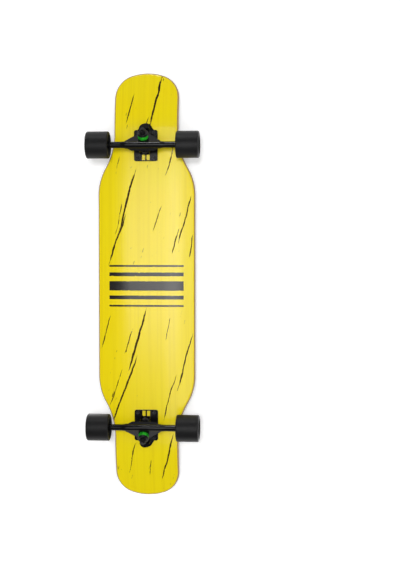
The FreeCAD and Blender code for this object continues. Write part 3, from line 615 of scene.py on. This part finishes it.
def bushingUrethane():
    look = bushingLook
    material, shader, spot = newMaterial("bushingUrethane")
    cloud = noise(spot, *look["cloud"])
    shade = cloud.step(*look["cloudStep"])
    plug(shader, "Base Color", shade.mixColour(look["greenDeep"], look["green"]))
    plug(shader, "Roughness", look["rough"] + cloud * look["cloudRougher"])
    plug(shader, "Subsurface Weight", look["subsurface"])
    plug(shader, "Subsurface Radius", look["subsurfaceRadius"])
    plug(shader, "Normal", bump(noise(spot, *look["skin"]) * look["skinHeight"], look["bump"]))
    return material


def turnedBushing(truck, side, facing, material):
    look = bushingLook
    kingpin = Vector((-facing, 0, 1)).normalized()
    outward = Vector((facing, 0, 1)).normalized()
    foot = Vector((facing * look["axleX"], 0, look["axleZ"])) + outward * look["kingpinOffset"]
    stations = look[side]
    (near, nearRadius), (far, farRadius) = stations[0], stations[-1]
    rim, bore, middle = look["rim"], look["bore"], look["rimMiddle"]
    way = math.copysign(rim, far - near)
    outline = (
        (near, bore),
        (near, nearRadius - rim),
        (near + way * middle, nearRadius - rim * middle),
        (near + way, nearRadius),
        *stations[1:-1],
        (far - way, farRadius),
        (far - way * middle, farRadius - rim * middle),
        (far, farRadius - rim),
        (far, bore),
    )
    shape = bmesh.new()
    points = []
    for place, radius in outline:
        points.append(shape.verts.new(foot + kingpin * place + Vector((0, radius, 0))))
    edges = [shape.edges.new((points[i - 1], points[i])) for i in range(len(points))]
    turn = {"cent": foot, "axis": kingpin, "angle": 2 * math.pi, "steps": look["sides"]}
    bmesh.ops.spin(shape, geom=points + edges, use_merge=True, **turn)
    bmesh.ops.remove_doubles(shape, verts=shape.verts, dist=look["mergeWithin"])
    bmesh.ops.recalc_face_normals(shape, faces=shape.faces)
    for face in shape.faces:
        face.smooth = True
    for edge in shape.edges:
        edge.smooth = edge.calc_face_angle(0.0) < look["sharpFrom"]
    name = truck + "_" + side + "_bushing"
    mesh = bpy.data.meshes.new(name + "_urethane")
    shape.to_mesh(mesh)
    shape.free()
    mesh.materials.append(material)
    piece = bpy.data.objects.new(name + "_urethane", mesh)
    scene.collection.objects.link(piece)
    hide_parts(name)
    foot + kingpin * near
    foot + kingpin * far
    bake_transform(piece)


greenUrethane = bushingUrethane()
for truck, facing in (("front", 1), ("rear", -1)):
    for side in ("boardside", "roadside"):
        turnedBushing(truck, side, facing, greenUrethane)
print("bushings turned")


# a floor seen from above and a backdrop seen from below, both plain white away from the board
stageLook = {
    "half": 6.0,
    "whiteStep": (0.6, 1.5),
    "rough": 0.9,
    "specular": 0.1,
    "floor": {"height": 0.0, "faceDown": False, "colour": rgb(176, 176, 176), "glow": 0.6},
    "backdrop": {"height": 0.1402, "faceDown": True, "colour": rgb(238, 238, 238), "glow": 0.26},
}


def rayKind(tree, kind):
    return Wire(tree).make("ShaderNodeLightPath", out=kind)


# 1 for a ray that shows the background to the camera, straight or in a reflection
def seenRay(tree):
    mirrored = rayKind(tree, "Is Glossy Ray") + rayKind(tree, "Is Transmission Ray")
    return (rayKind(tree, "Is Camera Ray") + mirrored).atMost(1.0)


# pale from its front, clear from behind
def oneSided(name, look):
    material, shader, spot = newMaterial(name)
    tree = material.node_tree
    plug(shader, "Base Color", look["colour"])
    plug(shader, "Roughness", stageLook["rough"])
    plug(shader, "Specular IOR Level", stageLook["specular"])
    plug(shader, "Emission Strength", 1.0)
    far = spot.length().step(*stageLook["whiteStep"])
    glow = look["glow"] + far * (1 - look["glow"])
    plug(shader, "Emission Color", seenRay(tree) * glow)
    front = Wire(tree, shader.outputs[0])
    clear = front.make("ShaderNodeBsdfTransparent")
    behind = front.make("ShaderNodeNewGeometry", out="Backfacing")
    mixed = front.make("ShaderNodeMixShader", None, {0: behind, 1: front, 2: clear})
    plug(tree.nodes["Material Output"], "Surface", mixed)
    return material


def stagePlane(name):
    look = stageLook[name]
    shape = bmesh.new()
    bmesh.ops.create_grid(shape, x_segments=1, y_segments=1, size=stageLook["half"])
    if look["faceDown"]:
        bmesh.ops.reverse_faces(shape, faces=shape.faces)
    bmesh.ops.translate(shape, verts=shape.verts, vec=(0, 0, look["height"]))
    mesh = bpy.data.meshes.new(name)
    shape.to_mesh(mesh)
    shape.free()
    mesh.materials.append(oneSided("pale_" + name, look))
    plane = bpy.data.objects.new(name, mesh)
    scene.collection.objects.link(plane)
    plane.visible_shadow = False
    plane.visible_diffuse = False
    plane.visible_glossy = False


stagePlane("floor")
stagePlane("backdrop")


# lamps under the board for the underside, lamps over it for the top
# the lower ones count only where they light directly, which keeps the print's colour off the floor
lampLook = {
    "aim": (0, 0, 0.08),
    "bouncesBelow": 0,
    "bouncesAbove": 8,
    "lamps": {
        "keyBelow": {"place": (0.7, 0.4, -6.4), "size": 1.1, "power": 175.0, "glossy": False},
        "sideBelow": {"place": (-0.3, 0.75, -3.0), "size": 2.2, "power": 18.0},
        "fillBelow": {"place": (0.09, -0.1, -2.4), "size": 1.0, "power": 7.2},
        "glintBelow": {"place": (3.05, -0.3, -1.23), "size": 0.4, "power": 12.0, "diffuse": False},
        "keyAbove": {"place": (1.1, -1.4, 2.3), "size": 1.4, "power": 46.0},
        "fillAbove": {"place": (-1.5, 1.2, 1.9), "size": 2.2, "power": 24.0},
    },
}


def hangLamp(name, look):
    place = Vector(look["place"])
    lamp = bpy.data.lights.new(name, "AREA")
    lamp.shape = "DISK"
    lamp.size = look["size"]
    lamp.energy = look["power"]
    lamp.cycles.max_bounces = lampLook["bouncesBelow" if place.z < 0 else "bouncesAbove"]
    holder = bpy.data.objects.new(name, lamp)
    holder.location = place
    aim = Vector(lampLook["aim"]) - place
    holder.rotation_euler = aim.to_track_quat("-Z", "Y").to_euler()
    holder.visible_glossy = look.get("glossy", True)
    holder.visible_diffuse = look.get("diffuse", True)
    scene.collection.objects.link(holder)


for name, look in lampLook["lamps"].items():
    hangLamp(name, look)


# even light, white behind the board, and for reflections white above and dark below
worldLook = {"ambient": 0.38, "darkEnd": 0.02, "paleStep": (-0.45, 0.35)}


def studioWorld():
    look = worldLook
    world = bpy.data.worlds.new("studio")
    world.use_nodes = True
    tree = world.node_tree
    sky = tree.nodes["Background"]
    plug(sky, "Color", (1, 1, 1, 1))
    upward = split(Wire(tree).make("ShaderNodeTexCoord", out="Generated"))[2]
    mirrored = upward.step(*look["paleStep"]) * (1 - look["darkEnd"]) + look["darkEnd"]
    direct = rayKind(tree, "Is Camera Ray")
    shown = direct + (1 - direct) * mirrored
    seen = seenRay(tree)
    plug(sky, "Strength", (1 - seen) * look["ambient"] + seen * shown)
    return world


scene.world = studioWorld()
print("stage and lamps set")


# straight at the underside, a little from the board's left side, nose up
cameraLook = {
    "lens": 70.93,
    "sensor": 36.0,
    "place": (0.11, 0.379, -2.692),
    "aim": (0.0028, 0.135, 0.095),
    "noseWay": (1, 0, 0),
}


def cameraTurn():
    forward = (Vector(cameraLook["aim"]) - Vector(cameraLook["place"])).normalized()
    nose = Vector(cameraLook["noseWay"])
    up = (nose - forward * forward.dot(nose)).normalized()
    right = forward.cross(up)
    return Matrix((right, up, -forward)).transposed().to_4x4()


lens = bpy.data.cameras.new("mainCamera")
lens.lens = cameraLook["lens"]
lens.sensor_width = cameraLook["sensor"]
mainCamera = bpy.data.objects.new("mainCamera", lens)
mainCamera.matrix_world = Matrix.Translation(cameraLook["place"]) @ cameraTurn()
scene.collection.objects.link(mainCamera)
scene.camera = mainCamera

print("scene ready")
